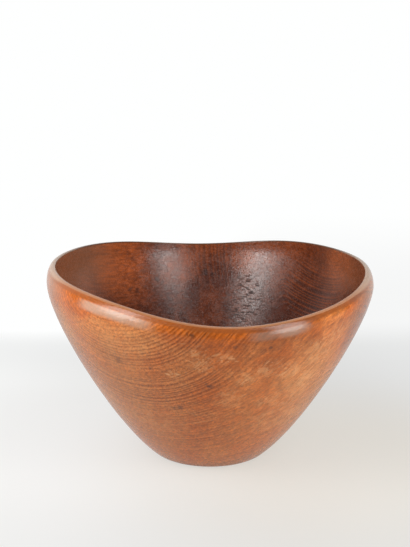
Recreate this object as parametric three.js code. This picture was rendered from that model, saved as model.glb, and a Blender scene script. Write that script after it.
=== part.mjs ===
// Salad bowl carved and turned from one block of teak.
//
// Millimetres, +Z up. The bowl stands on Z = 0 with its axis on Z, and its front is towards -Y.
// Angles round the bowl are in degrees from the back (+Y), positive towards the right (+X).
//
// The outside is a turned wall that flares from a flat base and stands upright at the top, where it
// rolls in over a rounded shoulder to a thin flat lip. The rim is cut to a wave, high at both sides and
// low at the front and back, so each angle has its own section: the same wall, ended at another height.

import * as THREE from "three";

// Outside of the wall
const WIDTH = 300;
const BASE_WIDTH = 105;
const UPRIGHT_HEIGHT = 165;
const FLARE_AT_BASE = 37;
const FLARE_HANDLE = 45;
const UPRIGHT_HANDLE = 30;
const BASE_EDGE_CUT = 3;

// Rim: how thick the wall is there, how the shoulder rolls in to the flat lip (how far down it starts,
// how far in it goes and how far round it turns), and how the lip's two edges are eased
const RIM_HEIGHT = 172.3;
const WALL_THICKNESS = 8.4;
const SHOULDER_DROP = 14.5;
const SHOULDER_ROLL = 5.6;
const SHOULDER_TURN = 82;
const OUTER_EDGE_CUT = 0.8;
const INNER_EDGE_RADIUS = 1;

// Hollow: the thickness of its floor, how far its round floor reaches past the base, and how long its
// wall runs upright
const FLOOR_THICKNESS = 14;
const FLOOR_SPREAD = 18;
const HOLLOW_HANDLE = 32;

// Wave of the rim: how far each wave rises above the mean height, and where one of its highs is
const TILT_RISE = 2.8;
const TILT_HIGH_AT = -68;
const SADDLE_RISE = 7.5;
const SADDLE_HIGH_AT = 80;
const TRIPLE_RISE = 0.8;
const TRIPLE_HIGH_AT = -34;
const CORNER_RISE = 1.5;
const CORNER_HIGH_AT = 38;
const FIVEFOLD_RISE = 0.3;
const FIVEFOLD_HIGH_AT = 25;
const SIXFOLD_RISE = 0.5;
const SIXFOLD_HIGH_AT = 29;
const RIM_WAVES = [
  { highs: 1, rise: TILT_RISE, at: TILT_HIGH_AT },
  { highs: 2, rise: SADDLE_RISE, at: SADDLE_HIGH_AT },
  { highs: 3, rise: TRIPLE_RISE, at: TRIPLE_HIGH_AT },
  { highs: 4, rise: CORNER_RISE, at: CORNER_HIGH_AT },
  { highs: 5, rise: FIVEFOLD_RISE, at: FIVEFOLD_HIGH_AT },
  { highs: 6, rise: SIXFOLD_RISE, at: SIXFOLD_HIGH_AT },
];

// How finely the surfaces are faceted
const FACETS_ROUND = 96;
const WALL_STEPS = 11;
const SHOULDER_STEPS = 6;
const EDGE_STEPS = 3;
const HOLLOW_STEPS = 13;

// How often the search for a height on a section halves its step
const HALVINGS = 40;

// Height of the rim at an angle, in radians
function rimHeight(angle) {
  let height = RIM_HEIGHT;
  for (const wave of RIM_WAVES) {
    height += wave.rise * Math.cos(wave.highs * (angle - THREE.MathUtils.degToRad(wave.at)));
  }
  return height;
}

// Section of the outside, from the edge of the base to where the wall stands upright
function outsideCurve() {
  const flare = THREE.MathUtils.degToRad(FLARE_AT_BASE);
  const foot = new THREE.Vector2(BASE_WIDTH / 2, 0);
  const flareHandle = new THREE.Vector2(Math.cos(flare), Math.sin(flare)).multiplyScalar(FLARE_HANDLE);
  const top = new THREE.Vector2(WIDTH / 2, UPRIGHT_HEIGHT);
  const topHandle = new THREE.Vector2(top.x, top.y - UPRIGHT_HANDLE);
  return new THREE.CubicBezierCurve(foot, flareHandle.add(foot), topHandle, top);
}

// Section of the hollow, from the middle of its floor to where its wall stands upright
function hollowCurve() {
  const middle = new THREE.Vector2(0, FLOOR_THICKNESS);
  const floorHandle = new THREE.Vector2(BASE_WIDTH / 2 + FLOOR_SPREAD, FLOOR_THICKNESS);
  const top = new THREE.Vector2(WIDTH / 2 - WALL_THICKNESS, UPRIGHT_HEIGHT);
  const topHandle = new THREE.Vector2(top.x, top.y - HOLLOW_HANDLE);
  return new THREE.CubicBezierCurve(middle, floorHandle, topHandle, top);
}

// Radius of a section at a height. Above its end the wall goes on straight up.
function radiusAt(curve, height) {
  if (height >= curve.v3.y) return curve.v3.x;
  let low = 0;
  let high = 1;
  for (let halving = 0; halving < HALVINGS; halving++) {
    const middle = (low + high) / 2;
    if (curve.getPoint(middle).y < height) low = middle;
    else high = middle;
  }
  return curve.getPoint(low).x;
}

// The closed section at an angle: under the base, up the outside, over the lip and down to the floor.
// The first and last points are on the axis.
function section(angle, outside, hollow) {
  const rim = rimHeight(angle);
  const points = [new THREE.Vector2(0, 0)];

  // The base's edge is eased, as sanding leaves it
  const edgeStart = new THREE.Vector2(BASE_WIDTH / 2 - BASE_EDGE_CUT, 0);
  const edgeTop = BASE_EDGE_CUT * Math.sin(THREE.MathUtils.degToRad(FLARE_AT_BASE));
  const edgeEnd = new THREE.Vector2(radiusAt(outside, edgeTop), edgeTop);
  points.push(...new THREE.QuadraticBezierCurve(edgeStart, outside.v0, edgeEnd).getPoints(EDGE_STEPS));

  const shoulder = rim - SHOULDER_DROP;
  for (let step = 1; step <= WALL_STEPS; step++) {
    const height = THREE.MathUtils.lerp(edgeTop, shoulder, step / WALL_STEPS);
    points.push(new THREE.Vector2(radiusAt(outside, height), height));
  }

  // The shoulder rolls in from the wall along the first part of an ellipse, which would meet the lip at
  // a corner. It stops short of the corner, and the lip's outer edge is eased round it.
  const fullTurn = THREE.MathUtils.degToRad(SHOULDER_TURN);
  const across = SHOULDER_ROLL / (1 - Math.cos(fullTurn));
  const up = SHOULDER_DROP / Math.sin(fullTurn);
  const lastTurn = Math.asin((SHOULDER_DROP - OUTER_EDGE_CUT) / up);
  for (let step = 1; step <= SHOULDER_STEPS; step++) {
    const turn = (step / SHOULDER_STEPS) * lastTurn;
    const height = shoulder + up * Math.sin(turn);
    points.push(new THREE.Vector2(radiusAt(outside, height) - across * (1 - Math.cos(turn)), height));
  }
  const corner = new THREE.Vector2(radiusAt(outside, rim) - SHOULDER_ROLL, rim);
  const lipStart = new THREE.Vector2(corner.x - OUTER_EDGE_CUT, rim);
  const outerEdge = new THREE.QuadraticBezierCurve(points.at(-1), corner, lipStart);
  points.push(...outerEdge.getPoints(EDGE_STEPS).slice(1));

  // The lip is flat as far as its inner edge, a quarter of a circle
  const lipEnd = radiusAt(hollow, rim) + INNER_EDGE_RADIUS;
  for (let step = 0; step <= EDGE_STEPS; step++) {
    const turn = (step / EDGE_STEPS) * (Math.PI / 2);
    const inward = INNER_EDGE_RADIUS * Math.sin(turn);
    const down = INNER_EDGE_RADIUS * (1 - Math.cos(turn));
    points.push(new THREE.Vector2(lipEnd - inward, rim - down));
  }

  // The steps down the hollow shorten towards its floor, which is nearly level
  const hollowTop = rim - INNER_EDGE_RADIUS;
  for (let step = HOLLOW_STEPS - 1; step >= 0; step--) {
    const share = (step / HOLLOW_STEPS) ** 2;
    const height = THREE.MathUtils.lerp(FLOOR_THICKNESS, hollowTop, share);
    points.push(new THREE.Vector2(radiusAt(hollow, height), height));
  }
  return points;
}

// A closed skin through the sections, which share the first and last points on the axis
function skin(sections) {
  const rings = sections[0].length - 2;
  const positions = [];
  sections.forEach((points, facet) => {
    const angle = (facet / sections.length) * 2 * Math.PI;
    for (const point of points.slice(1, -1)) {
      positions.push(point.x * Math.sin(angle), point.x * Math.cos(angle), point.y);
    }
  });
  const base = sections.length * rings;
  const floor = base + 1;
  positions.push(0, 0, sections[0][0].y, 0, 0, sections[0][rings + 1].y);

  const faces = [];
  for (let facet = 0; facet < sections.length; facet++) {
    const here = facet * rings;
    const next = ((facet + 1) % sections.length) * rings;
    faces.push(base, here, next);
    for (let ring = 0; ring < rings - 1; ring++) {
      faces.push(here + ring, here + ring + 1, next + ring);
      faces.push(next + ring, here + ring + 1, next + ring + 1);
    }
    faces.push(floor, next + rings - 1, here + rings - 1);
  }

  const geometry = new THREE.BufferGeometry();
  geometry.setAttribute("position", new THREE.Float32BufferAttribute(positions, 3));
  geometry.setIndex(faces);
  geometry.computeVertexNormals();
  return geometry;
}

function bowlGeometry() {
  const outside = outsideCurve();
  const hollow = hollowCurve();
  const sections = [];
  for (let facet = 0; facet < FACETS_ROUND; facet++) {
    sections.push(section((facet / FACETS_ROUND) * 2 * Math.PI, outside, hollow));
  }
  return skin(sections);
}

const oiledTeak = new THREE.MeshStandardMaterial({ color: 0x9c5a33, roughness: 0.42, metalness: 0 });

const bowlBody = new THREE.Mesh(bowlGeometry(), oiledTeak);
bowlBody.name = "bowl_body";

const saladBowl = new THREE.Group();
saladBowl.add(bowlBody);

export default saladBowl;
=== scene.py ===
"""Looks of a wooden salad bowl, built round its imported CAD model.

The bowl is one block of oiled teak. Everything is in metres, with +Z up, the bowl's axis on Z and
its front towards -Y. Angles round the bowl run from the back (+Y), positive towards the right (+X).
"""

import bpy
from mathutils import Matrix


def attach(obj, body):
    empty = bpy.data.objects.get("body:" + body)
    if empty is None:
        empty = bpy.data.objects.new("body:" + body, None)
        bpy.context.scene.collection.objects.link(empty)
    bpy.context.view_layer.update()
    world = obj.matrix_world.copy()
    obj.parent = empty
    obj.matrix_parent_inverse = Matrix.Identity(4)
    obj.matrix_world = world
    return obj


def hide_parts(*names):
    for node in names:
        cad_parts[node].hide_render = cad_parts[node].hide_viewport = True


bl_info = {
    "name": "Turned Teak Salad Bowl",
    "version": (1, 0, 0),
    "blender": (4, 5, 0),
    "location": "3D View > Sidebar > Salad Bowl",
    "description": "Builds a worn teak salad bowl with a waved rim, and a pale studio round it",
    "category": "Add Mesh",
}

import math
from functools import partial

import bpy
import numpy as np
from bpy.props import FloatProperty, FloatVectorProperty, IntProperty, PointerProperty
from mathutils import Matrix, Vector

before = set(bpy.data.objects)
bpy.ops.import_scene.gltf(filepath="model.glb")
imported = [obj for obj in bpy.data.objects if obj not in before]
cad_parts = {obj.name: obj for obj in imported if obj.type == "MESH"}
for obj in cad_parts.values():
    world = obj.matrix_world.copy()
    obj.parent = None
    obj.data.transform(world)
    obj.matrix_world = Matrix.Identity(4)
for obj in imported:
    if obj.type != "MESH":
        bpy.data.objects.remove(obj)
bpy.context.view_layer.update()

MM = 0.001

# The photograph's frame, in pixels, and its long side on the camera's sensor, in millimetres
FRAME_LONG_SIDE = 547
SENSOR_SIZE = 36.0


# Kinds of property that the groups share
LengthProperty = partial(FloatProperty, unit="LENGTH")
ColourProperty = partial(FloatVectorProperty, size=3, min=0, max=1, subtype="COLOR")


class BowlShape(bpy.types.PropertyGroup):
    """Sizes of the bowl. They are the CAD model's own."""

    width: LengthProperty(
        name="Width", description="Across the upright part of the wall",
        default=0.300, min=0.15, max=0.45)
    base_width: LengthProperty(
        name="Base Width", description="Across the flat base, before its edge is eased",
        default=0.105, min=0.04, max=0.2)
    upright_height: LengthProperty(
        name="Upright Height", description="Height at which the wall stands upright",
        default=0.165, min=0.08, max=0.3)
    flare_at_base: FloatProperty(
        name="Flare at Base", description="Slope of the wall where it leaves the base",
        default=math.radians(37), min=0.2, max=1.4, subtype="ANGLE")
    flare_handle: LengthProperty(
        name="Flare Handle", description="How far the wall keeps the slope it has at the base",
        default=0.045, min=0.01, max=0.1)
    upright_handle: LengthProperty(
        name="Upright Handle", description="How far down the wall stays nearly upright",
        default=0.030, min=0.005, max=0.1)
    base_edge_cut: LengthProperty(
        name="Base Edge", description="How far the edge of the base is eased",
        default=0.003, min=0.0005, max=0.01)
    rim_height: LengthProperty(
        name="Rim Height", description="Mean height of the rim",
        default=0.1723, min=0.08, max=0.3)
    wall_thickness: LengthProperty(
        name="Wall Thickness", description="Thickness of the wall at the rim",
        default=0.0084, min=0.006, max=0.015)
    shoulder_drop: LengthProperty(
        name="Shoulder Drop", description="How far below the rim the wall starts to roll in",
        default=0.0145, min=0.005, max=0.03)
    shoulder_roll: LengthProperty(
        name="Shoulder Roll", description="How far the wall rolls in to the lip's outer edge",
        default=0.0056, min=0.001, max=0.008)
    shoulder_turn: FloatProperty(
        name="Shoulder Turn", description="How far round its ellipse the shoulder goes",
        default=math.radians(82), min=0.5, max=1.5, subtype="ANGLE")
    outer_edge_cut: LengthProperty(
        name="Outer Edge", description="How far the lip's outer edge is eased",
        default=0.0008, min=0.0002, max=0.002)
    inner_edge_radius: LengthProperty(
        name="Inner Edge", description="Radius of the lip's inner edge",
        default=0.001, min=0.0005, max=0.004)
    floor_thickness: LengthProperty(
        name="Floor Thickness", description="Thickness of the wood under the hollow",
        default=0.014, min=0.006, max=0.03)
    floor_spread: LengthProperty(
        name="Floor Spread", description="How far the hollow's round floor reaches past the base",
        default=0.018, min=0.0, max=0.05)
    hollow_handle: LengthProperty(
        name="Hollow Handle", description="How far down the hollow's wall stays nearly upright",
        default=0.032, min=0.005, max=0.1)
    rim_rises: FloatVectorProperty(
        name="Rim Rises", description="Rise of the rim's waves that have one high, two highs, and so on",
        default=(0.0028, 0.0075, 0.0008, 0.0015, 0.0003, 0.0005), size=6, unit="LENGTH")
    rim_highs: FloatVectorProperty(
        name="Rim Highs", description="Where each wave has one of its highs",
        default=tuple(math.radians(a) for a in (-68, 80, -34, 38, 25, 29)), size=6, subtype="EULER")
    unevenness: LengthProperty(
        name="Unevenness", description="How far hand sanding has dished the turned surface",
        default=0.00022, min=0.0, max=0.001)
    facets: IntProperty(
        name="Facets", description="Facets round the bowl", default=480, min=96, max=960)


class TeakFinish(bpy.types.PropertyGroup):
    """Colours and grain of the oiled teak."""

    outside_oiled: ColourProperty(
        name="Outside, Oiled", description="Wood of the outside where the oil has stayed",
        default=(0.430, 0.095, 0.008))
    outside_dry: ColourProperty(
        name="Outside, Dry", description="Paler wood of the outside where the oil has worn off",
        default=(0.535, 0.209, 0.063))
    outside_scuffed: ColourProperty(
        name="Outside, Scuffed", description="Wood that is rubbed bare",
        default=(0.720, 0.350, 0.145))
    outside_line: ColourProperty(
        name="Outside, Year Line", description="Dark line at the start of a year's growth, outside",
        default=(0.150, 0.037, 0.006))
    hollow_warm: ColourProperty(
        name="Hollow, Warm", description="Lighter wood of the hollow",
        default=(0.367, 0.080, 0.016))
    hollow_deep: ColourProperty(
        name="Hollow, Deep", description="Wood of the hollow that oil and food have darkened",
        default=(0.082, 0.016, 0.005))
    hollow_line: ColourProperty(
        name="Hollow, Year Line", description="Dark line at the start of a year's growth, in the hollow",
        default=(0.045, 0.013, 0.007))
    base_raw: ColourProperty(
        name="Sanded Base", description="Dry wood of the base",
        default=(0.440, 0.240, 0.125))
    ring_width: LengthProperty(
        name="Ring Width", description="Width of one year's growth",
        default=0.0030, min=0.001, max=0.01)
    wander: LengthProperty(
        name="Wander", description="How far the rings wander from round",
        default=0.016, min=0, max=0.05)
    pith_point: FloatVectorProperty(
        name="Pith Point", description="A point on the line of the tree's pith",
        default=(-0.007, -0.019, 0.242), size=3, subtype="XYZ")
    pith_direction: FloatVectorProperty(
        name="Pith Direction", description="The way that the pith runs",
        default=(0.61, 0.79, 0.13), size=3, subtype="DIRECTION")
    branch_point: FloatVectorProperty(
        name="Branch Point",
        description="A point on the pith of the branch that bends the grain at the back",
        default=(-0.134, -0.148, 0.199), size=3, subtype="XYZ")
    branch_direction: FloatVectorProperty(
        name="Branch Direction", description="The way that the branch's pith runs",
        default=(-0.73, 0.68, 0.03), size=3, subtype="DIRECTION")
    branch_size: LengthProperty(
        name="Branch Size",
        description="Distance from the branch's pith at which its rings join the trunk's",
        default=0.446, min=0, max=1)
    fibre_direction: FloatVectorProperty(
        name="Fibre Direction", description="The way that pores and streaks run",
        default=(0.65, 0.70, 0.30), size=3, subtype="DIRECTION")


class Studio(bpy.types.PropertyGroup):
    """The floor, the lamps and the camera."""

    floor_colour: ColourProperty(
        name="Floor", description="Colour of the floor near the bowl",
        default=(0.80, 0.79, 0.765))
    floor_reach: LengthProperty(
        name="Floor Reach", description="How far the floor reaches round the bowl",
        default=9.0, min=1, max=50)
    fill_strength: FloatProperty(
        name="Fill", description="Strength of the even light from all sides",
        default=0.47, min=0, max=2)
    left_power: FloatProperty(
        name="Left Lamp", description="Power of the lamp at the front left, in watts",
        default=2.05, min=0, max=50)
    right_power: FloatProperty(
        name="Right Lamp", description="Power of the lamp at the front right, in watts",
        default=1.0, min=0, max=50)
    camera_place: FloatVectorProperty(
        name="Camera Place", description="Where the camera stands",
        default=(-0.00481, -1.159, 0.475), size=3, subtype="TRANSLATION")
    camera_dip: FloatProperty(
        name="Camera Dip", description="How far the camera looks down",
        default=math.radians(14.76), subtype="ANGLE")
    camera_lean: FloatProperty(
        name="Camera Lean", description="How far the camera leans to its left",
        default=math.radians(0.28), subtype="ANGLE")
    focal_length: FloatProperty(
        name="Focal Length", description="In pixels of the photograph's frame",
        default=1300, min=300, max=5000)


# Shape of the bowl

WALL_ROWS = 64
SHOULDER_ROWS = 24
EDGE_ROWS = 6
LIP_ROWS = 5
HOLLOW_ROWS = 56
BASE_ROWS = 6
CURVE_SAMPLES = 3000

# Waves of the sanded surface: radians a metre towards +X, +Y and +Z, start, and share of the depth
SANDING_WAVES = ((61, 0, 23, 0.7, 0.125), (0, -37, 71, 2.1, 0.125), (97, -83, 5, 0.0, 0.125),
                 (0, 173, 131, 4.0, 0.0625), (151, 0, -167, 1.3, 0.0625))

# Material slots of the bowl's faces
OUTSIDE_SLOT, HOLLOW_SLOT, BASE_SLOT = range(3)


def cubic_curve(start, first, second, end):
    """Radii and heights along a cubic Bezier curve."""
    t = np.linspace(0, 1, CURVE_SAMPLES)[:, None]
    points = np.array([start, first, second, end])
    curve = ((1 - t) ** 3 * points[0] + 3 * (1 - t) ** 2 * t * points[1]
             + 3 * (1 - t) * t ** 2 * points[2] + t ** 3 * points[3])
    return curve[:, 0], curve[:, 1]


def bend(start, corner, end, t):
    """The value at t along a curve from start to end that bends round a corner."""
    return (1 - t) ** 2 * start + 2 * (1 - t) * t * corner + t ** 2 * end


def outside_curve(shape):
    foot = (shape.base_width / 2, 0)
    lean = shape.flare_handle * np.array((math.cos(shape.flare_at_base), math.sin(shape.flare_at_base)))
    top = (shape.width / 2, shape.upright_height)
    return cubic_curve(foot, foot + lean, (top[0], top[1] - shape.upright_handle), top)


def hollow_curve(shape):
    middle = (0, shape.floor_thickness)
    spread = (shape.base_width / 2 + shape.floor_spread, shape.floor_thickness)
    top = (shape.width / 2 - shape.wall_thickness, shape.upright_height)
    return cubic_curve(middle, spread, (top[0], top[1] - shape.hollow_handle), top)


def radius_at(curve, height):
    """Radius of a curve at a height. Above its end the wall goes on straight up."""
    return np.interp(height, curve[1], curve[0])


def rim_heights(shape, angles):
    height = np.full_like(angles, shape.rim_height)
    for highs, (rise, at) in enumerate(zip(shape.rim_rises, shape.rim_highs), start=1):
        height += rise * np.cos(highs * (angles - at))
    return height


def bowl_rows(shape, angles):
    """Rows of (radius, height) for every angle, from the base's middle to the hollow's, and how many
    of them there are up to the end of the base, of the outside and of the lip."""
    outside, hollow = outside_curve(shape), hollow_curve(shape)
    rim = rim_heights(shape, angles)
    level = np.ones_like(angles)
    rows = []

    foot = shape.base_width / 2
    flat = foot - shape.base_edge_cut
    for step in range(1, BASE_ROWS + 1):
        rows.append((flat * step / BASE_ROWS * level, 0 * level))
    base_rows = len(rows)

    edge_top = shape.base_edge_cut * math.sin(shape.flare_at_base)
    edge_end = radius_at(outside, edge_top)
    for step in range(1, EDGE_ROWS + 1):
        t = step / EDGE_ROWS
        rows.append((bend(flat, foot, edge_end, t) * level, bend(0, 0, edge_top, t) * level))

    shoulder = rim - shape.shoulder_drop
    for step in range(1, WALL_ROWS + 1):
        height = edge_top + (shoulder - edge_top) * step / WALL_ROWS
        rows.append((radius_at(outside, height), height))

    # The shoulder rolls in along the first part of an ellipse, and stops just short of the lip's edge
    across = shape.shoulder_roll / (1 - math.cos(shape.shoulder_turn))
    up = shape.shoulder_drop / math.sin(shape.shoulder_turn)
    last_turn = math.asin((shape.shoulder_drop - shape.outer_edge_cut) / up)
    for step in range(1, SHOULDER_ROWS + 1):
        turn = step / SHOULDER_ROWS * last_turn
        height = shoulder + up * math.sin(turn)
        rows.append((radius_at(outside, height) - across * (1 - math.cos(turn)), height))
    outside_rows = len(rows)

    edge_start, edge_height = rows[-1]
    corner = radius_at(outside, rim) - shape.shoulder_roll
    lip_start = corner - shape.outer_edge_cut
    for step in range(1, EDGE_ROWS + 1):
        t = step / EDGE_ROWS
        rows.append((bend(edge_start, corner, lip_start, t), bend(edge_height, rim, rim, t)))

    lip_end = radius_at(hollow, rim) + shape.inner_edge_radius
    for step in range(1, LIP_ROWS):
        t = step / LIP_ROWS
        rows.append((lip_start + (lip_end - lip_start) * t, rim))
    for step in range(EDGE_ROWS + 1):
        turn = step / EDGE_ROWS * math.pi / 2
        height = rim - shape.inner_edge_radius * (1 - math.cos(turn))
        rows.append((lip_end - shape.inner_edge_radius * math.sin(turn), height))
    lip_rows = len(rows)

    hollow_top = rim - shape.inner_edge_radius
    for step in range(HOLLOW_ROWS - 1, 0, -1):
        height = shape.floor_thickness + (hollow_top - shape.floor_thickness) * (step / HOLLOW_ROWS) ** 2
        rows.append((radius_at(hollow, height), height))
    return rows, base_rows, outside_rows, lip_rows


def hand_sanding(radius, angle, height):
    """Shallow dishing of the surface, from 0 to 1, made of a few slow waves."""
    x, y = radius * np.sin(angle), radius * np.cos(angle)
    dishing = 0.5
    for across, back, up, start, size in SANDING_WAVES:
        dishing = dishing + size * np.sin(across * x + back * y + up * height + start)
    return np.clip(dishing, 0, 1)


def bowl_mesh(shape):
    """The bowl as one closed mesh. Its points carry their distance from the edges of the lip."""
    angles = np.arange(shape.facets) / shape.facets * 2 * math.pi
    rows, base_rows, outside_rows, lip_rows = bowl_rows(shape, angles)
    radius = np.array([row[0] for row in rows])
    height = np.array([row[1] * np.ones_like(angles) for row in rows])

    # Distances along the section: on the lip itself they are below 0, down to the middle of the lip
    steps = np.hypot(np.diff(radius, axis=0), np.diff(height, axis=0))
    along = np.vstack([np.zeros_like(angles), np.cumsum(steps, axis=0)])
    lip_middle = (along[outside_rows - 1] + along[lip_rows - 1]) / 2
    half_lip = (along[lip_rows - 1] - along[outside_rows - 1]) / 2
    from_lip = np.abs(along - lip_middle) - half_lip

    # Sanding takes wood away, so the outside moves inwards and the hollow outwards
    away = np.ones(len(rows))
    away[:base_rows + EDGE_ROWS] = 0
    away[outside_rows:lip_rows] = np.linspace(1, -1, lip_rows - outside_rows)
    away[lip_rows:] = -1
    radius -= away[:, None] * shape.unevenness * hand_sanding(radius, angles, height)

    ring = np.stack([radius * np.sin(angles), radius * np.cos(angles), height], axis=-1)
    points = ring.reshape(-1, 3).tolist()
    count, facets = len(rows), shape.facets
    base_middle, hollow_middle = count * facets, count * facets + 1
    points += [(0, 0, 0), (0, 0, shape.floor_thickness)]

    faces, slots = [], []
    for facet in range(facets):
        after = (facet + 1) % facets
        faces.append((base_middle, facet, after))
        slots.append(BASE_SLOT)
        for row in range(count - 1):
            low, high = row * facets, (row + 1) * facets
            faces.append((low + facet, high + facet, high + after, low + after))
            slots.append(BASE_SLOT if row < base_rows - 1
                         else OUTSIDE_SLOT if row < lip_rows - 1 else HOLLOW_SLOT)
        last = (count - 1) * facets
        faces.append((hollow_middle, last + after, last + facet))
        slots.append(HOLLOW_SLOT)

    mesh = bpy.data.meshes.new("turned_bowl")
    mesh.from_pydata(points, [], faces)
    mesh.polygons.foreach_set("material_index", slots)
    mesh.shade_smooth()
    distance = mesh.attributes.new("from_lip", "FLOAT", "POINT")
    far = float(from_lip.max())
    distance.data.foreach_set("value", np.append(from_lip.ravel(), [far, far]).astype(np.float32))
    mesh.validate()
    mesh.update()
    return mesh


# Colours of the finer parts of the wood, and of the paper and the lamps
OUTSIDE_PORE = (0.13, 0.034, 0.008)
OUTSIDE_STAIN = (0.075, 0.028, 0.014)
# Painted sheen on the outside's ends, below the lip
END_SHEEN = (0.44, 0.28, 0.18)
# Painted shade on the band just below the lip
UNDER_LIP_SHADE = (0.25, 0.066, 0.013)
# Painted highlight on the shoulder
SHOULDER_HIGHLIGHT = (0.41, 0.280, 0.210)
# The lip's colours paint light: sheen at the front and the ends, shade at the back
LIP_FRONT_SHEEN = (0.33, 0.140, 0.060)
LIP_BACK_SHADE = (0.105, 0.036, 0.013)
LIP_ENDS_SHEEN = (0.46, 0.33, 0.24)
# Painted light on the upper ends of the hollow
HOLLOW_ENDS_LIGHT = (0.34, 0.145, 0.078)
HOLLOW_PORE = (0.014, 0.007, 0.006)
HOLLOW_STAIN = (0.02, 0.01, 0.010)
BASE_LINE = (0.20, 0.07, 0.03)
BASE_PORE = (0.10, 0.04, 0.02)
PAPER_GLOW = (0.993, 1.0, 0.997)
WARM_GLOW = (0.975, 0.94, 0.87)
FILL_COLOUR = (1.0, 0.985, 0.96)
BACKDROP_COLOUR = (0.985, 0.99, 0.985)
LAMP_COLOUR = (1.0, 0.995, 0.98)

# Refractive indices of the thin oil outside and of the hollow's thick old finish
OUTSIDE_IOR = 1.45
HOLLOW_IOR = 1.60

# Roughness of clean wood: the least outside, and the ranges of the hollow and the base
OUTSIDE_ROUGHNESS = 0.19
HOLLOW_ROUGHNESS = (0.14, 0.24)
BASE_ROUGHNESS = (0.55, 0.72)

# Depth of the fine relief of each surface, in metres
OUTSIDE_RELIEF = 0.00005
HOLLOW_RELIEF = 0.00006
BASE_RELIEF = 0.00015

# Where the painted sheen of the ends starts and where it is full, in metres from the middle
END_SHEEN_REACH = (0.118, 0.148)

# Distances from the lip over which the painted highlight on the shoulder comes in and fades out, in
# metres
HIGHLIGHT_BAND = ((0.0036, 0.0054), (0.0100, 0.0145))

# Where the branch at the middle of the back and the limb at its right are, and the distances over
# which they join the trunk, in metres
BRANCH_MIDDLE = 0.004
BRANCH_DEPTH = (0.050, 0.100)
BRANCH_REACH = (0.035, 0.085)
LIMB_POINT = (0.106, 0.078, 0.228)
LIMB_DIRECTION = (0.80, 0.60, 0.0)
LIMB_MIDDLE = (0.108, 0.082, 0.135)
LIMB_REACH = (0.035, 0.065)
LIMB_OFFSET = 0.03
LIMB_WANDER = 0.003

# Scales of the noise that makes the rings wander slowly and quickly, and the share of the quick part
SLOW_WANDER = 9.0
QUICK_WANDER = 55.0
QUICK_SHARE = 0.10

# Noise that shakes the edges of marks and of strokes: its scale, and its reach in metres
MARK_SHAKE = (320.0, 0.004)
STROKE_SHAKE = (260.0, 0.0014)

# Finer runs of fibres: a light and dark hatch and flaked scuffs outside, and streaks and open pores
# in the hollow
SCUFF_DIRECTION = (0.64, 0.12, 0.76)
HATCH = {"fibre_direction": SCUFF_DIRECTION, "length": 0.006, "thickness": 0.0010}
SCUFFS = {"fibre_direction": SCUFF_DIRECTION, "length": 0.0036, "thickness": 0.0013}
LEVEL_STREAKS = {"fibre_direction": (0.64, 0.77, -0.22), "length": 0.014, "thickness": 0.0010}
PORE_DASHES = {"fibre_direction": (0.94, -0.34, 0.0), "length": 0.0036, "thickness": 0.0008}

# Stretches of years that are strongly marked: distances from the pith, in metres, and strength.
# The others are plain, and each stretch fades over a short distance.
STRONG_YEARS = ((0.040, 0.064, 0.7), (0.070, 0.081, 0.55), (0.084, 0.108, 1.0), (0.121, 0.149, 1.05),
                (0.153, 0.157, 0.8), (0.164, 0.176, 0.7), (0.186, 0.200, 0.6))
PLAIN_YEARS = 0.27
YEARS_FADE = 0.003

# Parts of a year over which its dark line and its pale line come in and fade out, and how much
# darker and lighter a single year can be
DARK_LINE = ((0.0, 0.14), (0.20, 0.50))
PALE_LINE = ((0.50, 0.70), (0.82, 1.0))
YEAR_TONES = (0.93, 1.07)

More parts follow.
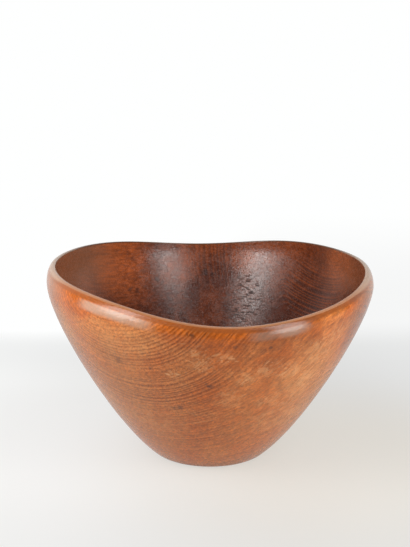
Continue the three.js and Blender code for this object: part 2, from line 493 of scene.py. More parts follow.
# Marks and patches: angle in degrees from the back, height and radius in millimetres, and depth
OUTSIDE_MASKS = {
    "outside_marks": (
        (180, 105, 3.8, 0.70), (-178.5, 107, 2.6, 0.60), (-167, 80, 3.8, 0.60), (-164.5, 79, 2.8, 0.50),
        (-145, 123, 5.5, 0.32), (-174, 156, 2.4, 0.75), (-172.5, 157, 2.0, 0.65),
        (160, 142, 3.0, 0.70), (162, 139, 4.5, 0.30), (-158, 120, 1.6, 0.65), (-165, 52, 1.8, 0.55),
        (162, 62, 1.5, 0.5), (172, 145, 3.5, 0.35), (169, 146, 3.0, 0.30),
    ),
    "outside_rubbed": (
        (-166, 116, 6.0, 0.60), (-176, 139, 12, 0.45), (175, 134, 12, 0.45), (151, 115, 14, 0.75),
        (147, 113, 9, 0.7), (139, 101, 18, 0.7), (167, 111, 11, 0.65), (154, 85, 16, 0.6),
        (138, 130, 24, 0.55), (132, 142, 16, 0.45), (136, 60, 26, 0.5), (150, 60, 24, 0.45),
        (-178, 128, 16, 0.45), (160, 122, 16, 0.5), (172, 92, 18, 0.4), (-150, 140, 30, 0.20),
        (145, 85, 30, 0.35), (-155, 60, 40, 0.25),
    ),
    "dry_and_sheen_places": (
        (-138, 140, 46, 0.34), (-145, 100, 50, 0.18), (140, 103, 46, 0.32), (150, 60, 50, 0.12),
        (136, 162, 26, 0.40), (-157, 152, 30, 0.50), (-174, 134, 26, 0.38), (-168, 112, 26, 0.32),
        # Those at about 120 degrees either side, on the flanks, are painted sheen
        (-114, 132, 46, 0.40), (-122, 60, 50, 0.16),
        (-120, 70, 60, 0.3), (118, 80, 60, 0.3), (40, 90, 80, 0.30), (-50, 80, 80, 0.25),
    ),
    "oily_places": (
        (-178, 92, 34, 0.30), (178, 152, 40, 0.45), (157, 128, 30, 0.30), (172, 62, 50, 0.16),
        (154, 36, 44, 0.22), (-132, 170, 20, 0.6), (0, 150, 60, 0.3),
    ),
    # Darker patches; those high on the shoulder at the right are painted shade
    "dark_and_shaded_places": (
        (158, 157, 36, 0.40), (147, 152, 34, 0.36), (134, 158, 32, 0.20), (168, 145, 24, 0.20),
        (-176, 152, 30, 0.12), (-142, 124, 26, 0.12), (-140, 100, 40, 0.06), (120, 170, 24, 0.30),
        (-128, 162, 14, 0.14), (-108, 152, 46, 0.22), (-114, 122, 44, 0.12), (114, 147, 48, 0.36),
        (157, 130, 26, 0.28), (141, 128, 26, 0.20), (154, 108, 24, 0.14), (113, 168, 24, 0.22),
    ),
    # Where the shoulder's painted highlight lies, under the lamps' reflections
    "shoulder_highlights": (
        (-139, 170, 26, 1.0), (-148, 168, 28, 1.0), (-155, 166, 22, 0.8),
        (162, 158, 20, 0.6), (153, 160, 24, 0.9),
    ),
    "plain_places": (
        (172, 135, 34, 0.6), (152, 105, 75, 0.85), (130, 135, 60, 0.85), (140, 55, 60, 0.7),
        (160, 145, 34, 0.6),
    ),
}
HOLLOW_MASKS = {
    # Warmer wood; the places on the left of the hollow are painted light
    "warm_and_lit_places": (
        (-42, 152, 52, 0.95), (-75, 150, 60, 0.75), (64, 162, 34, 0.45), (-2, 168, 24, 0.35),
        (120, 140, 50, 0.4), (14, 150, 22, 0.35), (-12, 140, 30, 0.25),
    ),
    "hollow_marks": (
        (-2, 136, 4.5, 0.6), (1, 134, 3.5, 0.5), (-24, 132, 4.0, 0.6), (-22, 128, 3.0, 0.5),
        (-35, 124, 4.0, 0.4), (-36, 160, 5.0, 0.35), (-34, 154, 4.0, 0.4), (-39, 126, 3.0, 0.5),
    ),
    "lined_places": (
        (44, 134, 40, 0.60), (54, 122, 40, 0.62), (62, 142, 36, 0.45), (1, 150, 42, 0.34),
        (180, 120, 90, 0.4),
    ),
    "open_pores": (
        (14, 103, 26, 1.0), (20, 107, 26, 1.0), (18, 124, 22, 0.95), (18, 92, 24, 0.9),
    ),
}

# Strokes: angle and height of the middle, half length, half width, lean and depth
OUTSIDE_SCRATCHES = (
    (-168, 117, 3.4, 1.3, -14, 0.75), (-164.5, 116, 3.4, 1.2, -12, 0.75),
    (-166, 113.5, 2.6, 0.9, 10, 0.50), (-171, 148, 5.0, 0.7, 4, 0.35),
    (-173, 131, 3.5, 0.8, -25, 0.35), (-175, 138, 6.0, 2.2, 20, 0.50),
    (178, 138, 6.0, 1.6, 18, 0.45), (173, 134, 4.4, 1.4, 4, 0.60), (171, 131, 3.0, 1.0, -20, 0.40),
    (155, 127, 9.0, 0.5, 52, 0.40), (158, 116, 7.0, 0.5, 50, 0.35), (-176, 64, 15.0, 0.5, 14, 0.45),
    (-140, 62, 5.0, 0.6, -80, 0.60), (-160, 92, 6.0, 0.5, 5, 0.30), (-150, 128, 8.0, 0.4, 12, 0.30),
    (148, 70, 7.0, 0.5, 40, 0.35), (143, 92, 6.0, 0.5, 62, 0.40), (166, 75, 8.0, 0.5, 25, 0.35),
)
HOLLOW_DASHES = (
    (15, 98, 9.0, 0.7, 0, 0.8), (19, 97, 5.0, 0.6, -3, 0.7), (14, 125, 3.0, 0.8, -12, 0.8),
    (18, 122, 4.0, 0.9, -18, 0.9), (20, 120, 2.6, 1.0, -10, 0.9), (22, 128, 3.0, 0.7, 20, 0.6),
    (16, 113, 2.4, 0.7, 0, 0.7), (20, 110, 4.0, 0.6, -5, 0.7), (17, 92, 3.0, 1.2, 12, 0.9),
    (13, 104, 3.0, 0.6, 8, 0.6), (-38, 127, 3.5, 0.8, 0, 0.7),
)


# Nodes

# Which sockets of the Mix node hold its colours
MIX_FIRST, MIX_SECOND, MIX_RESULT = 6, 7, 2


class Bench:
    """Adds nodes to one tree and joins them."""

    def __init__(self, tree):
        self.tree = tree

    def put(self, kind, inputs=None, **settings):
        """A node of a kind, with its settings, and its inputs joined to sockets or set to values."""
        node = self.tree.nodes.new(kind)
        for name, value in settings.items():
            setattr(node, name, value)
        for name, value in (inputs or {}).items():
            self.feed(node.inputs[name], value)
        return node

    def feed(self, socket, value):
        if isinstance(value, bpy.types.NodeSocket):
            self.tree.links.new(value, socket)
        elif socket.type == "RGBA" and len(value) == 3:
            socket.default_value = (*value, 1)
        else:
            socket.default_value = value

    def math(self, operation, *values, clamp=False):
        return self.put("ShaderNodeMath", dict(enumerate(values)), operation=operation,
                        use_clamp=clamp).outputs[0]

    def chain(self, operation, first, *others):
        """Values worked together one after another, such as a sum of several."""
        for other in others:
            first = self.math(operation, first, other)
        return first

    def times(self, *values):
        return self.chain("MULTIPLY", *values)

    def plus(self, *values):
        return self.chain("ADD", *values)

    def minus(self, *values):
        return self.chain("SUBTRACT", *values)

    def largest(self, *values):
        return self.chain("MAXIMUM", *values)

    def clamped(self, value):
        return self.math("ADD", value, 0.0, clamp=True)

    def vector(self, operation, *values):
        node = self.put("ShaderNodeVectorMath", dict(enumerate(values)), operation=operation)
        return node.outputs["Value" if operation in ("LENGTH", "DOT_PRODUCT", "DISTANCE") else 0]

    def scaled(self, vector, scale):
        node = self.put("ShaderNodeVectorMath", {0: vector, "Scale": scale}, operation="SCALE")
        return node.outputs[0]

    def split(self, vector):
        return list(self.put("ShaderNodeSeparateXYZ", {0: vector}).outputs)

    def combined(self, *parts):
        return self.put("ShaderNodeCombineXYZ", dict(enumerate(parts))).outputs[0]

    def ease(self, value, low, high, start=0.0, end=1.0):
        """Eases from start to end while value goes from low to high."""
        node = self.put("ShaderNodeMapRange", {"Value": value, "From Min": low, "From Max": high,
                                               "To Min": start, "To Max": end},
                        interpolation_type="SMOOTHSTEP")
        return node.outputs[0]

    def spread(self, value, start, end):
        """Eases from start to end while value goes from 0 to 1."""
        return self.ease(value, 0.0, 1.0, start, end)

    def band(self, value, rise, fall, depth=1.0):
        """Eases up to depth while value goes through one range, and back to 0 through another."""
        return self.times(self.ease(value, *rise, 0.0, depth), self.ease(value, *fall, 1.0, 0.0))

    def blend(self, share, first, second):
        """The first colour where share is 0, the second where it is 1."""
        node = self.put("ShaderNodeMix", {"Factor": share}, data_type="RGBA")
        self.feed(node.inputs[MIX_FIRST], first)
        self.feed(node.inputs[MIX_SECOND], second)
        return node.outputs[MIX_RESULT]

    def noise(self, vector, scale, detail=2.0, roughness=0.5, distortion=0.0, output="Fac"):
        return self.put("ShaderNodeTexNoise",
                        {"Vector": vector, "Scale": scale, "Detail": detail, "Roughness": roughness,
                         "Distortion": distortion}).outputs[output]

    def shake(self, place, scale, reach, detail=2.0):
        """An offset that noise sets, of up to half of reach each way."""
        way = self.noise(place, scale, detail=detail, output="Color")
        return self.scaled(self.vector("SUBTRACT", way, (0.5, 0.5, 0.5)), reach)

    def group(self, name, **inputs):
        node = self.put("ShaderNodeGroup", node_tree=bpy.data.node_groups[name])
        for label, value in inputs.items():
            self.feed(node.inputs[label.replace("_", " ").title()], value)
        return node.outputs

    def mask(self, name, place):
        """How deep a place lies in the marks or strokes of a group."""
        return self.group(name, place=place)[0]


def new_group(name, inputs, outputs):
    """An empty node group: its bench, its inputs by name, and a function that feeds its outputs, in
    order. An input is a vector where its default is a tuple, and all the others are values."""
    tree = bpy.data.node_groups.new(name, "ShaderNodeTree")
    for label, default in inputs.items():
        kind = "NodeSocketVector" if isinstance(default, tuple) else "NodeSocketFloat"
        tree.interface.new_socket(label, in_out="INPUT", socket_type=kind).default_value = default
    for label in outputs:
        tree.interface.new_socket(label, in_out="OUTPUT", socket_type="NodeSocketFloat")
    bench = Bench(tree)
    given = bench.put("NodeGroupInput").outputs
    end = bench.put("NodeGroupOutput")

    def leave(*values):
        for socket, value in zip(end.inputs, values):
            bench.feed(socket, value)

    return bench, given, leave


def pith_distance_group():
    """Distance from the line of a pith, wandering as a real trunk's rings do."""
    bench, given, leave = new_group(
        "pith_distance",
        {"Place": (0, 0, 0), "Pith Point": (0, 0, 0), "Pith Direction": (0, 1, 0), "Wander": 0.01},
        ("Distance",))
    slow = bench.shake(given["Place"], SLOW_WANDER, given["Wander"], detail=1.0)
    quick = bench.shake(given["Place"], QUICK_WANDER, bench.times(given["Wander"], QUICK_SHARE),
                        detail=1.0)
    place = bench.vector("ADD", bench.vector("ADD", given["Place"], slow), quick)

    along = bench.vector("NORMALIZE", given["Pith Direction"])
    offset = bench.vector("SUBTRACT", place, given["Pith Point"])
    lengthwise = bench.scaled(along, bench.vector("DOT_PRODUCT", offset, along))
    leave(bench.vector("LENGTH", bench.vector("SUBTRACT", offset, lengthwise)))


def growth_rings_group():
    """Yearly rings: a dark line where each year starts, a pale one beside it, and how strongly each
    stretch of years is marked."""
    bench, given, leave = new_group(
        "growth_rings", {"Distance": 0.0, "Ring Width": 0.004},
        ("Dark Line", "Pale Line", "Year Tone", "Marking"))
    years = bench.math("DIVIDE", given["Distance"], given["Ring Width"])
    uneven = bench.put("ShaderNodeTexNoise", {"W": years, "Scale": 0.33, "Detail": 1.0},
                       noise_dimensions="1D").outputs["Fac"]
    years = bench.plus(years, bench.times(uneven, 1.5))
    part = bench.math("FRACT", years)
    tone = bench.put("ShaderNodeTexWhiteNoise", {"W": bench.math("FLOOR", years)},
                     noise_dimensions="1D").outputs["Value"]
    marking = PLAIN_YEARS
    for start, end, strength in STRONG_YEARS:
        stretch = bench.band(given["Distance"], (start - YEARS_FADE, start), (end, end + YEARS_FADE),
                             strength)
        marking = bench.largest(marking, stretch)
    leave(bench.band(part, *DARK_LINE), bench.band(part, *PALE_LINE), tone, marking)


def fibre_group():
    """Streaks and open pores that run with the fibres: dashes along them, dots across them."""
    bench, given, leave = new_group(
        "wood_fibres",
        {"Place": (0, 0, 0), "Fibre Direction": (0, 1, 0), "Length": 0.012, "Thickness": 0.0007},
        ("Streak", "Pore"))
    along = bench.vector("NORMALIZE", given["Fibre Direction"])
    side = bench.vector("NORMALIZE", bench.vector("CROSS_PRODUCT", along, (0.1, 0.05, 1.0)))
    rise = bench.vector("CROSS_PRODUCT", side, along)
    parts = [bench.math("DIVIDE", bench.vector("DOT_PRODUCT", given["Place"], axis), size)
             for axis, size in ((along, given["Length"]), (side, given["Thickness"]),
                                (rise, given["Thickness"]))]
    stretched = bench.combined(*parts)
    streak = bench.noise(stretched, 0.5, detail=3.0, roughness=0.6)
    pore = bench.noise(bench.vector("ADD", stretched, (7.3, 2.9, 5.1)), 1.0, detail=1.0)
    leave(streak, bench.ease(pore, 0.60, 0.72))


def patina_group():
    """Uneven oiling: broad patches, a finer mottle, and flecks."""
    bench, given, leave = new_group("patina", {"Place": (0, 0, 0), "Patch Size": 0.05},
                                    ("Patch", "Mottle", "Fleck"))
    place = given["Place"]
    scale = bench.math("DIVIDE", 1.0, given["Patch Size"])
    patch = bench.noise(place, scale, detail=3.0, roughness=0.55, distortion=0.4)
    mottle = bench.noise(place, bench.times(scale, 5.5), detail=3.0, roughness=0.65)
    fleck = bench.noise(place, bench.times(scale, 26.0), roughness=0.7, distortion=1.2)
    leave(bench.ease(patch, 0.32, 0.68), bench.ease(mottle, 0.3, 0.7), bench.ease(fleck, 0.3, 0.7))


def on_bowl(angle, height, hollow=False):
    """The point on the bowl's wall at an angle in degrees and a height in millimetres."""
    shape = bpy.context.scene.bowl_shape
    curve = hollow_curve(shape) if hollow else outside_curve(shape)
    radius = float(radius_at(curve, height * MM))
    turn = math.radians(angle)
    return radius * math.sin(turn), radius * math.cos(turn), height * MM


def marks_group(name, marks, hollow=False):
    """A mask of soft round marks. Each is (angle in degrees, height, radius in millimetres, depth)."""
    bench, given, leave = new_group(name, {"Place": (0, 0, 0)}, ("Mark",))
    place = bench.vector("ADD", given["Place"], bench.shake(given["Place"], *MARK_SHAKE))
    total = 0.0
    for angle, height, radius, depth in marks:
        away = bench.vector("DISTANCE", place, on_bowl(angle, height, hollow))
        total = bench.largest(total, bench.ease(away, radius * MM * 0.25, radius * MM, depth, 0.0))
    leave(total)


def strokes_group(name, strokes, hollow=False):
    """A mask of short strokes on the wall. Each is (angle in degrees, height, half length and half
    width in millimetres, how far it leans up to the right in degrees, depth)."""
    bench, given, leave = new_group(name, {"Place": (0, 0, 0)}, ("Stroke",))
    place = bench.vector("ADD", given["Place"], bench.shake(given["Place"], *STROKE_SHAKE))
    total = 0.0
    for angle, height, length, width, lean, depth in strokes:
        middle = Vector(on_bowl(angle, height, hollow))
        above = Vector(on_bowl(angle, height + 5, hollow))
        upward = (above - middle).normalized()
        outward = Vector((middle.x, middle.y, 0)).normalized()
        rightward = Vector((-outward.y, outward.x, 0)) * (-1 if hollow else 1)
        turn = math.radians(lean)
        along = rightward * math.cos(turn) + upward * math.sin(turn)
        across = upward * math.cos(turn) - rightward * math.sin(turn)
        offset = bench.vector("SUBTRACT", place, tuple(middle))
        lengthwise = bench.vector("DOT_PRODUCT", offset, tuple(along / (length * MM)))
        sideways = bench.vector("DOT_PRODUCT", offset, tuple(across / (width * MM)))
        reach = bench.combined(lengthwise, sideways)
        through = bench.ease(bench.vector("DISTANCE", given["Place"], tuple(middle)), length * MM,
                             length * MM * 1.5, 1.0, 0.0)
        stroke = bench.ease(bench.vector("LENGTH", reach), 0.35, 1.0, depth, 0.0)
        total = bench.largest(total, bench.times(stroke, through))
    leave(total)


def new_material(name):
    """An empty material, its bench and its Principled BSDF."""
    material = bpy.data.materials.new(name)
    material.use_nodes = True
    material.node_tree.nodes.clear()
    bench = Bench(material.node_tree)
    surface = bench.put("ShaderNodeBsdfPrincipled")
    bench.put("ShaderNodeOutputMaterial", {"Surface": surface.outputs[0]})
    return material, bench, surface


def wood(bench, finish, patch_size):
    """The grain that runs through the whole block, the same in every material, and the patina."""
    place = bench.put("ShaderNodeTexCoord").outputs["Object"]
    across, depth = bench.split(place)[:2]

    def pith_distance(point, direction, wander):
        return bench.group("pith_distance", place=place, pith_point=tuple(point),
                           pith_direction=tuple(direction), wander=wander)[0]

    def joined(distance, other, share):
        """One distance, or another where share is 1."""
        return bench.math("MULTIPLY_ADD", bench.minus(other, distance), share, distance)

    # At the middle of the back a branch turns the rings upright
    distance = pith_distance(finish.pith_point, finish.pith_direction, finish.wander)
    branch = pith_distance(finish.branch_point, finish.branch_direction, finish.wander)
    beside = bench.math("ABSOLUTE", bench.minus(across, BRANCH_MIDDLE))
    share = bench.times(bench.ease(depth, *BRANCH_DEPTH), bench.ease(beside, *BRANCH_REACH, 1.0, 0.0))
    distance = joined(distance, bench.minus(finish.branch_size, branch), share)

    # At the right of the back a limb bends the rings into arcs
    limb = pith_distance(LIMB_POINT, LIMB_DIRECTION, LIMB_WANDER)
    share = bench.ease(bench.vector("DISTANCE", place, LIMB_MIDDLE), *LIMB_REACH, 1.0, 0.0)
    distance = joined(distance, bench.plus(limb, LIMB_OFFSET), share)

    rings = bench.group("growth_rings", distance=distance, ring_width=finish.ring_width)
    fibres = bench.group("wood_fibres", place=place, fibre_direction=tuple(finish.fibre_direction))
    patina = bench.group("patina", place=place, patch_size=patch_size)
    return place, rings, fibres, patina


def from_lip(bench):
    """Distance from the nearer edge of the lip, along the surface. On the lip it is below 0."""
    return bench.put("ShaderNodeAttribute", attribute_name="from_lip").outputs["Fac"]


def lined(bench, colour, rings, marking, dark_line, pale_line, pale_share):
    """A colour with the year lines on it: a dark one, and a fainter pale one beside it."""
    colour = bench.blend(bench.times(rings["Dark Line"], marking), colour, dark_line)
    return bench.blend(bench.times(rings["Pale Line"], marking, pale_share), colour, pale_line)


def dress(bench, surface, colour, rough, relief, depth):
    """Gives a surface its colour, its roughness and a relief that is depth metres deep."""
    bench.feed(surface.inputs["Base Color"], colour)
    bench.feed(surface.inputs["Roughness"], rough)
    bump = bench.put("ShaderNodeBump", {"Height": relief, "Strength": 1.0, "Distance": depth})
    bench.feed(surface.inputs["Normal"], bump.outputs[0])


def toned(bench, colour, *tones):
    """A colour made lighter or darker by tones round 1."""
    for tone in tones:
        colour = bench.vector("MULTIPLY", colour, bench.combined(tone, tone, tone))
    return colour


def outside_material(finish):
    material, bench, surface = new_material("oiled_teak_outside")
    place, rings, fibres, patina = wood(bench, finish, patch_size=0.055)
    away = from_lip(bench)
    across, depth, height = bench.split(place)

    # The oil has worn off low on the wall and in dry places, and has stayed under the lip. The dry places
    # on the flanks are painted sheen
    dryness = bench.plus(bench.ease(height, 0.015, 0.120, 0.42, 0.30), bench.mask("dry_and_sheen_places", place),
                         bench.spread(patina["Patch"], -0.14, 0.14),
                         bench.spread(patina["Mottle"], -0.09, 0.09))
    dryness = bench.clamped(bench.minus(dryness, bench.mask("oily_places", place),
                                        bench.ease(away, 0.004, 0.026, 0.30, 0.0)))
    colour = bench.blend(dryness, finish.outside_oiled, finish.outside_dry)
    hatch = bench.group("wood_fibres", place=place, **HATCH)["Streak"]
    colour = toned(bench, colour, bench.spread(rings["Year Tone"], *YEAR_TONES),
                   bench.spread(patina["Fleck"], 0.94, 1.06),
                   bench.ease(fibres["Streak"], 0.35, 0.68, 0.85, 1.15),
                   bench.ease(hatch, 0.38, 0.62, 0.80, 1.20))
    marking = bench.times(rings["Marking"], bench.minus(1.0, bench.mask("plain_places", place)),
                          bench.ease(fibres["Streak"], 0.34, 0.58, 0.80, 0.45))
    colour = lined(bench, colour, rings, marking, finish.outside_line, finish.outside_scuffed, 0.25)
    colour = bench.blend(bench.times(fibres["Pore"], 0.35), colour, OUTSIDE_PORE)

    # Rubbed places are flaked and scratches are bare, and a few spots are stained dark
    scuffs = bench.group("wood_fibres", place=place, **SCUFFS)["Streak"]
    flaked = bench.math("MULTIPLY_ADD", patina["Mottle"], 0.15, bench.ease(scuffs, 0.47, 0.58, 0.0, 0.60))
    flaked = bench.plus(flaked, bench.ease(patina["Fleck"], 0.60, 1.0, 0.0, 0.55))
    bare = bench.largest(bench.times(bench.mask("outside_rubbed", place), flaked),
                        bench.mask("outside_scratches", place))
    colour = bench.blend(bare, colour, finish.outside_scuffed)
    colour = bench.blend(bench.mask("outside_marks", place), colour, OUTSIDE_STAIN)

    # The ends are painted pale below the lip: a painted sheen
    end = bench.ease(bench.math("ABSOLUTE", across), *END_SHEEN_REACH)
    end_sheen = bench.times(end, bench.ease(away, 0.006, 0.022, 0.40, 0.0))
    colour = bench.blend(end_sheen, colour, END_SHEEN)

    # Just below the lip a darker band is painted shade, and lower down the shoulder is painted pale as a
    # painted highlight under the lamps
    lip_shade_share = bench.times(bench.ease(away, 0.0028, 0.0050, 0.80, 0.0), bench.spread(end, 1.0, 0.4))
    colour = bench.blend(lip_shade_share, colour, UNDER_LIP_SHADE)
    # Painted highlight: paler colour where the lamps reflect on the shoulder
    shoulder = bench.times(bench.band(away, *HIGHLIGHT_BAND, 0.72), bench.mask("shoulder_highlights", place))
    colour = bench.blend(shoulder, colour, SHOULDER_HIGHLIGHT)
    # Darker patches, partly painted shade high on the right shoulder
    colour = toned(bench, colour, bench.minus(1.0, bench.mask("dark_and_shaded_places", place)))

    # The lip's colour is painted light: dark at the back in painted shade, and pale with painted sheen at
    # the front and at the ends, where its colour reaches furthest down
    lip = bench.blend(bench.ease(depth, -0.06, 0.07), LIP_FRONT_SHEEN, LIP_BACK_SHADE)
    lip = bench.blend(bench.times(end, 0.8), lip, LIP_ENDS_SHEEN)
    lip_reach = bench.spread(end, 0.0004, 0.0042)
    colour = bench.blend(bench.ease(away, 0.0, lip_reach, 0.9, 0.0), colour, lip)

    rough = bench.plus(OUTSIDE_ROUGHNESS, bench.times(patina["Mottle"], 0.06),
                       bench.times(dryness, 0.08), bench.times(bare, 0.10))
    relief = bench.minus(bench.times(patina["Mottle"], 0.4), fibres["Pore"],
                         bench.times(rings["Dark Line"], 0.4))
    dress(bench, surface, colour, rough, relief, OUTSIDE_RELIEF)
    surface.inputs["IOR"].default_value = OUTSIDE_IOR
    return material


def hollow_material(finish):
    material, bench, surface = new_material("oiled_teak_hollow")
    place, rings, fibres, patina = wood(bench, finish, patch_size=0.050)
    away = from_lip(bench)
    across, _, height = bench.split(place)

    # Oil and food have darkened the hollow, least of all near the lip. Its warm places on the left are
    # painted light
    warmth = bench.plus(bench.mask("warm_and_lit_places", place), bench.spread(patina["Patch"], -0.08, 0.20),
                        bench.spread(patina["Mottle"], -0.08, 0.08),
                        bench.ease(away, 0.005, 0.045, 0.22, 0.0))
    colour = bench.blend(bench.clamped(warmth), finish.hollow_deep, finish.hollow_warm)
    level = bench.group("wood_fibres", place=place, **LEVEL_STREAKS)["Streak"]
    colour = toned(bench, colour, bench.spread(rings["Year Tone"], *YEAR_TONES),
                   bench.spread(patina["Fleck"], 0.93, 1.07), bench.ease(level, 0.35, 0.65, 0.72, 1.28))
    colour = lined(bench, colour, rings, bench.mask("lined_places", place), finish.hollow_line,
                   finish.hollow_warm, 0.58)

    # Both ends are paler, the left one more than the right: this is painted light
    end = bench.largest(bench.ease(across, -0.128, -0.080, 0.75, 0.0),
                       bench.ease(across, 0.095, 0.140, 0.0, 0.30))
    end = bench.times(end, bench.ease(height, 0.110, 0.160))
    colour = bench.blend(end, colour, HOLLOW_ENDS_LIGHT)

    # Open pores run level across the back, where the highlight shows them
    dashes = bench.group("wood_fibres", place=place, **PORE_DASHES)["Streak"]
    pores = bench.largest(bench.times(bench.ease(dashes, 0.545, 0.61), bench.mask("open_pores", place)),
                          bench.times(fibres["Pore"], 0.45), bench.mask("hollow_dashes", place))
    colour = bench.blend(bench.times(pores, 0.85), colour, HOLLOW_PORE)
    colour = bench.blend(bench.mask("hollow_marks", place), colour, HOLLOW_STAIN)

    rough = bench.plus(bench.spread(patina["Mottle"], *HOLLOW_ROUGHNESS),
                       bench.ease(patina["Fleck"], 0.4, 1.0, 0.0, 0.16), bench.times(pores, 0.40))
    relief = bench.plus(bench.minus(bench.times(patina["Mottle"], 0.5), pores),
                        bench.times(level, 1.4), bench.times(patina["Fleck"], 0.7))
    dress(bench, surface, colour, rough, relief, HOLLOW_RELIEF)
    surface.inputs["IOR"].default_value = HOLLOW_IOR
    return material


def base_material(finish):
    material, bench, surface = new_material("sanded_teak_base")
    _, rings, fibres, patina = wood(bench, finish, patch_size=0.030)
    tone = bench.math("MULTIPLY_ADD", rings["Year Tone"], 0.4, bench.times(patina["Patch"], 0.6))
    colour = bench.blend(tone, finish.outside_oiled, finish.base_raw)
    colour = bench.blend(bench.times(rings["Dark Line"], 0.5), colour, BASE_LINE)
    colour = bench.blend(bench.times(fibres["Pore"], 0.6), colour, BASE_PORE)
    rough = bench.spread(patina["Mottle"], *BASE_ROUGHNESS)
    relief = bench.minus(fibres["Streak"], fibres["Pore"])
    dress(bench, surface, colour, rough, relief, BASE_RELIEF)
    return material


class SALAD_BOWL_OT_bowl(bpy.types.Operator):
    """Build the teak bowl in place of its CAD solid"""

    bl_idname = "salad_bowl.bowl"
    bl_label = "Bowl"

    def execute(self, context):
        pith_distance_group()
        growth_rings_group()
        fibre_group()
        patina_group()
        for name, marks in OUTSIDE_MASKS.items():
            marks_group(name, marks)
        for name, marks in HOLLOW_MASKS.items():
            marks_group(name, marks, hollow=True)
        strokes_group("outside_scratches", OUTSIDE_SCRATCHES)
        strokes_group("hollow_dashes", HOLLOW_DASHES, hollow=True)
        finish = context.scene.teak_finish
        bowl = bpy.data.objects.new("bowl", bowl_mesh(context.scene.bowl_shape))
        context.scene.collection.objects.link(bowl)
        for material in (outside_material(finish), hollow_material(finish), base_material(finish)):
            bowl.data.materials.append(material)
        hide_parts("bowl_body")
        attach(bowl, "root")
        return {"FINISHED"}


# The floor lies a little below the base, so that they don't share a plane
FLOOR_GAP = 0.0001

# Where each lamp stands, how wide and high it is, and what it is aimed at
LEFT_LAMP = ((-0.29, -0.25, 0.41), (0.17, 0.46), (0, 0, 0.43))
RIGHT_LAMP = ((0.225, -0.255, 0.30), (0.11, 0.42), (0, 0, 0.30))

# Middle of the wood's warm reflection on the paper
WARM_PAPER = (0.12, -0.04, 0)


def floor_mesh(reach):
    """A round floor, as rings that widen outwards."""
    sides, rings = 96, 24
    points, faces = [(0, 0, 0)], []
    for ring in range(1, rings + 1):
        radius = reach * (ring / rings) ** 3
        for side in range(sides):
            turn = 2 * math.pi * side / sides
            points.append((radius * math.cos(turn), radius * math.sin(turn), 0))
    for side in range(sides):
        after = (side + 1) % sides
        faces.append((0, 1 + side, 1 + after))
        for ring in range(rings - 1):
            low, high = 1 + ring * sides, 1 + (ring + 1) * sides
            faces.append((low + side, high + side, high + after, low + after))
    mesh = bpy.data.meshes.new("studio_floor")
    mesh.from_pydata(points, [], faces)
    mesh.update()
    return mesh


def seen_directly(bench):
    """1 for rays from the camera, from gloss and through glass, and 0 for rays that carry light."""
    path = bench.put("ShaderNodeLightPath").outputs
    return bench.largest(path["Is Camera Ray"], path["Is Glossy Ray"], path["Is Transmission Ray"])


def floor_material(studio):
    """Pale paper that fades into the white of the background."""
    material, bench, surface = new_material("pale_paper")
    place = bench.put("ShaderNodeTexCoord").outputs["Object"]
    across, depth = bench.split(place)[:2]
    stain = bench.noise(place, 9.0, detail=4.0, roughness=0.6)
    tint = bench.ease(stain, 0.35, 0.65, 0.985, 1.0)
    bench.feed(surface.inputs["Base Color"], toned(bench, tuple(studio.floor_colour), tint))
    surface.inputs["Roughness"].default_value = 0.6

    # The paper's glow is painted light and shadow: brightest at the left and darker in front, it dips
    # behind the bowl in a painted shadow, and brightens again further back.
    shadow_dip = bench.times(bench.ease(depth, 0.16, 0.29), bench.ease(across, -0.20, 0.20, -0.09, -0.01))
    rise = bench.ease(depth, 0.30, 0.42, 0.0, bench.ease(across, -0.20, 0.20, 0.20, 0.12))
    bright = bench.plus(bench.ease(across, -0.22, 0.12, 0.98, 0.815),
                        bench.ease(depth, -0.20, -0.05, -0.065, 0.0), shadow_dip, rise,
                        bench.ease(depth, 0.50, 1.15, 0.0, 0.08))

    # Gloss shows the dim room where the paper ends in front
    glossy = bench.put("ShaderNodeLightPath").outputs["Is Glossy Ray"]
    in_front = bench.times(bench.ease(depth, -0.55, -0.32, 0.75, 0.0), glossy)
    bright = bench.times(bench.math("MINIMUM", bright, 1.0), bench.minus(1.0, in_front))

    # At the right of the bowl the paper glows with painted warm light, as if bounced from the wood
    warmth = bench.ease(bench.vector("DISTANCE", place, WARM_PAPER), 0.06, 0.28, 1.0, 0.0)
    glow = bench.put("ShaderNodeEmission", {"Color": bench.blend(warmth, PAPER_GLOW, WARM_GLOW),
                                            "Strength": bright})
    away = bench.vector("LENGTH", place)
    fade = bench.times(bench.ease(away, 0.18, 0.42, 0.72, 1.0), seen_directly(bench))
    both = bench.put("ShaderNodeMixShader", {0: fade, 1: surface.outputs[0], 2: glow.outputs[0]})
    end = next(node for node in material.node_tree.nodes if node.type == "OUTPUT_MATERIAL")
    bench.feed(end.inputs["Surface"], both.outputs[0])
    return material


def studio_world(scene, studio):
    world = bpy.data.worlds.new("studio_white")
    world.use_nodes = True
    world.node_tree.nodes.clear()
    bench = Bench(world.node_tree)
    fill = bench.put("ShaderNodeBackground", {"Color": FILL_COLOUR, "Strength": studio.fill_strength})

    # Gloss shows the white paper behind the bowl, and the dimmer room at its sides and in front of it
    way = bench.split(bench.put("ShaderNodeTexCoord").outputs["Generated"])
    room = bench.ease(way[1], 0.10, 0.62, 1.0, 0.0)
    glossy = bench.put("ShaderNodeLightPath").outputs["Is Glossy Ray"]
    bright = bench.minus(1.0, bench.times(room, glossy, 0.88))
    white = bench.put("ShaderNodeBackground", {"Color": BACKDROP_COLOUR, "Strength": bright})
    both = bench.put("ShaderNodeMixShader", {0: seen_directly(bench), 1: fill.outputs[0],
                                             2: white.outputs[0]})
    bench.put("ShaderNodeOutputWorld", {"Surface": both.outputs[0]})
    scene.world = world


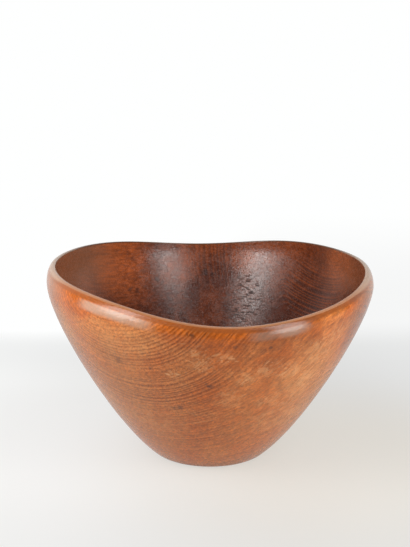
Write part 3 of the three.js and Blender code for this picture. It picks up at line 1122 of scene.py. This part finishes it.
def panel_lamp(scene, name, power, place, size, aim):
    """A soft rectangular lamp that the camera doesn't see."""
    data = bpy.data.lights.new(name, "AREA")
    data.shape = "RECTANGLE"
    data.size, data.size_y = size
    data.energy = power
    data.color = LAMP_COLOUR
    lamp = bpy.data.objects.new(name, data)
    lamp.location = place
    lamp.rotation_euler = (Vector(aim) - Vector(place)).to_track_quat("-Z", "Y").to_euler()
    lamp.visible_camera = False
    scene.collection.objects.link(lamp)


class SALAD_BOWL_OT_stage(bpy.types.Operator):
    """Lay the pale floor, light it and set up the camera"""

    bl_idname = "salad_bowl.stage"
    bl_label = "Stage"

    def execute(self, context):
        scene = context.scene
        studio = scene.studio
        scene.view_settings.view_transform = "Standard"
        floor = bpy.data.objects.new("studio_floor", floor_mesh(studio.floor_reach))
        floor.location.z = -FLOOR_GAP
        floor.data.materials.append(floor_material(studio))
        scene.collection.objects.link(floor)
        studio_world(scene, studio)
        panel_lamp(scene, "left_lamp", studio.left_power, *LEFT_LAMP)
        panel_lamp(scene, "right_lamp", studio.right_power, *RIGHT_LAMP)

        data = bpy.data.cameras.new("photo_camera")
        data.sensor_width = SENSOR_SIZE
        data.lens = studio.focal_length / FRAME_LONG_SIDE * SENSOR_SIZE
        camera = bpy.data.objects.new("photo_camera", data)
        camera.location = studio.camera_place
        turn = (Matrix.Rotation(math.pi / 2 - studio.camera_dip, 3, "X")
                @ Matrix.Rotation(studio.camera_lean, 3, "Z"))
        camera.rotation_euler = turn.to_euler()
        scene.collection.objects.link(camera)
        scene.camera = camera
        return {"FINISHED"}


class SALAD_BOWL_PT_panel(bpy.types.Panel):
    """The bowl's sizes, its finish and the stage"""

    bl_idname = "SALAD_BOWL_PT_panel"
    bl_label = "Salad Bowl"
    bl_space_type = "VIEW_3D"
    bl_region_type = "UI"
    bl_category = "Salad Bowl"

    def draw(self, context):
        for group, operator in (("bowl_shape", None), ("teak_finish", "salad_bowl.bowl"),
                                ("studio", "salad_bowl.stage")):
            settings = getattr(context.scene, group)
            box = self.layout.box()
            for name in type(settings).__annotations__:
                box.prop(settings, name)
            if operator:
                self.layout.operator(operator)


CLASSES = (BowlShape, TeakFinish, Studio, SALAD_BOWL_OT_bowl, SALAD_BOWL_OT_stage, SALAD_BOWL_PT_panel)


def register():
    for each in CLASSES:
        bpy.utils.register_class(each)
    bpy.types.Scene.bowl_shape = PointerProperty(type=BowlShape)
    bpy.types.Scene.teak_finish = PointerProperty(type=TeakFinish)
    bpy.types.Scene.studio = PointerProperty(type=Studio)


def unregister():
    del bpy.types.Scene.studio
    del bpy.types.Scene.teak_finish
    del bpy.types.Scene.bowl_shape
    for each in reversed(CLASSES):
        bpy.utils.unregister_class(each)


def main():
    register()
    bpy.ops.salad_bowl.stage()
    bpy.ops.salad_bowl.bowl()


if __name__ == "__main__":
    main()
